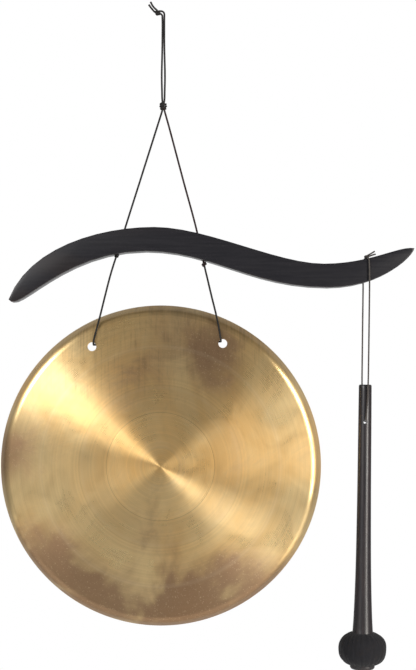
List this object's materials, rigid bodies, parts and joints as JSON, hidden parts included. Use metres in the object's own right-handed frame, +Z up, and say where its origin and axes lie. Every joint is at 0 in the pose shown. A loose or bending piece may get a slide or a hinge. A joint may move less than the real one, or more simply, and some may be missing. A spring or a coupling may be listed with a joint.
{
  "type": "hanging tam tam gong",
  "caption": "Round spun brass gong hung on a knotted braided cord from an S-curved wooden beam, with a padded mallet hanging on a thin cord loop beside it.",
  "frame": {"origin": "where a wall hook bears on the hanging cord, just under the tie knot", "axes": "+Z up, +X to the right as seen from the front, and the gong's face looks along -Y"},
  "size_m": [0.3297, 0.0384, 0.5307],
  "materials": {
    "hanging_cord": "black-brown braided cord, matt",
    "mallet_cord": "thin grey-brown twisted cord, matt",
    "beam_wood": "black-stained wood, satin lacquer",
    "gong_brass": "lathe-brushed and partly tarnished brass",
    "mallet_wood": "black lacquered wood, glossy",
    "mallet_felt": "wound felt core, hidden by the cover",
    "mallet_cloth": "black gathered cloth, matt"
  },
  "bodies": {
    "hook_knot": {"tie_knot": "hanging_cord", "tie_tail_upper": "hanging_cord", "tie_tail_lower": "hanging_cord", "hook_bend": "hanging_cord"},
    "hanging_loop": {"loop_strand_left": "hanging_cord", "loop_strand_right": "hanging_cord"},
    "gather": {"gather_knot": "hanging_cord"},
    "beam": {"upper_cord_left": "hanging_cord", "upper_cord_right": "hanging_cord", "beam": "beam_wood", "stop_knot_left": "hanging_cord", "stop_knot_right": "hanging_cord"},
    "gong_sling": {"gong_cord": "hanging_cord"},
    "gong": {"gong_plate": "gong_brass"},
    "mallet_tie": {"mallet_bight": "mallet_cord", "mallet_knot": "mallet_cord", "mallet_tail_upper": "mallet_cord", "mallet_tail_lower": "mallet_cord"},
    "mallet_loop": {"mallet_loop_upper": "mallet_cord"},
    "mallet_sling": {"mallet_loop_lower": "mallet_cord"},
    "mallet": {"mallet_handle": "mallet_wood", "mallet_core": "mallet_felt", "mallet_cover": "mallet_cloth", "mallet_end_cap": "mallet_wood"}
  },
  "joints": [
    {"name": "hanger_sway", "type": "hinge", "parent": "hook_knot", "child": "hanging_loop", "pos_m": [0, 0, -0.003], "axis": [0, 1, 0], "range_deg": [-20, 20]},
    {"name": "beam_turn", "type": "hinge", "parent": "hanging_loop", "child": "gather", "pos_m": [0, 0, -0.0735], "axis": [0, 0, 1], "range_deg": [-60, 60], "stiffness_Nm_per_rad": 0.004},
    {"name": "beam_swing", "type": "hinge", "parent": "gather", "child": "beam", "pos_m": [0, 0, -0.0735], "axis": [1, 0, 0], "range_deg": [-20, 20]},
    {"name": "gong_swing", "type": "hinge", "parent": "beam", "child": "gong_sling", "pos_m": [-0.037, 0, -0.1926], "axis": [0.996, 0, -0.0891], "range_deg": [-30, 30]},
    {"name": "gong_tilt", "type": "hinge", "parent": "gong_sling", "child": "gong", "pos_m": [-0.0554, 0, -0.2634], "axis": [0.9997, 0, 0.0257], "range_deg": [-30, 5]},
    {"name": "mallet_slide", "type": "slide", "parent": "beam", "child": "mallet_tie", "axis": [0.9613, 0, 0.2756], "range_m": [0, 0.045]},
    {"name": "mallet_sway", "type": "hinge", "parent": "mallet_tie", "child": "mallet_loop", "pos_m": [0.1612, 0, -0.1944], "axis": [0, -1, 0], "range_deg": [-5, 30]},
    {"name": "mallet_swing", "type": "hinge", "parent": "mallet_loop", "child": "mallet_sling", "pos_m": [0.1613, 0, -0.2155], "axis": [1, 0, 0], "range_deg": [-12, 12]},
    {"name": "mallet_pivot", "type": "hinge", "parent": "mallet_sling", "child": "mallet", "pos_m": [0.1602, 0, -0.3241], "axis": [0, -1, 0], "range_deg": [-5, 30]}
  ]
}
